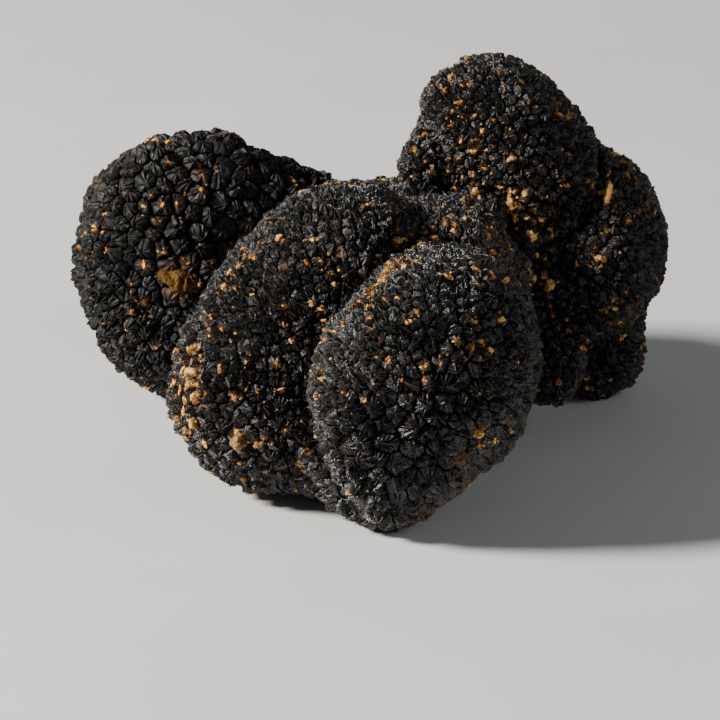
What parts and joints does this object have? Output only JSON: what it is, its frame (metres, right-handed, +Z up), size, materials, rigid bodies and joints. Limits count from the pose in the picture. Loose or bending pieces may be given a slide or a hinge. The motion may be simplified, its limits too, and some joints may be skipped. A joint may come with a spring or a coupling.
{
  "type": "black truffle",
  "caption": "Whole black truffle, deeply lobed, with warty near-black skin and crumbs of soil and grit, resting on small flat spots.",
  "frame": {"origin": "middle of the footprint, on the surface that the truffle rests on", "axes": "+Z up; +X along the longest extent, from the big left lobe to the right lobe; -Y towards the two-lobed front"},
  "size_m": [0.0924, 0.0828, 0.0568],
  "materials": {
    "truffle_skin": "near-black warts with satin facets and fine radial lines, dark grooves",
    "soil": "dry ochre soil, matt and crumbly",
    "grit": "pale worn grit, slightly smooth",
    "brown_soil": "brown spongy crumb, matt"
  },
  "bodies": {
    "root": {"truffle": "truffle_skin", "soil_patch_left": "soil", "soil_cluster_top": "soil", "soil_cluster_large": "soil", "soil_cluster_arch": "soil", "soil_cluster_small": "soil", "soil_cluster_low": "soil", "grit_front_left": "grit", "grit_front_small": "grit", "brown_crumb_front": "brown_soil", "soil_front_right": "soil", "soil_crease_low": "soil", "soil_crease_high": "soil", "grit_crown": "grit", "grit_crown_middle": "grit", "grit_ledge": "grit", "soil_cleft": "soil", "soil_ledge_left": "soil", "soil_ledge_right": "soil", "soil_sliver_right": "soil", "soil_right": "soil", "soil_gap": "soil", "grit_gap": "grit"}
  },
  "joints": []
}
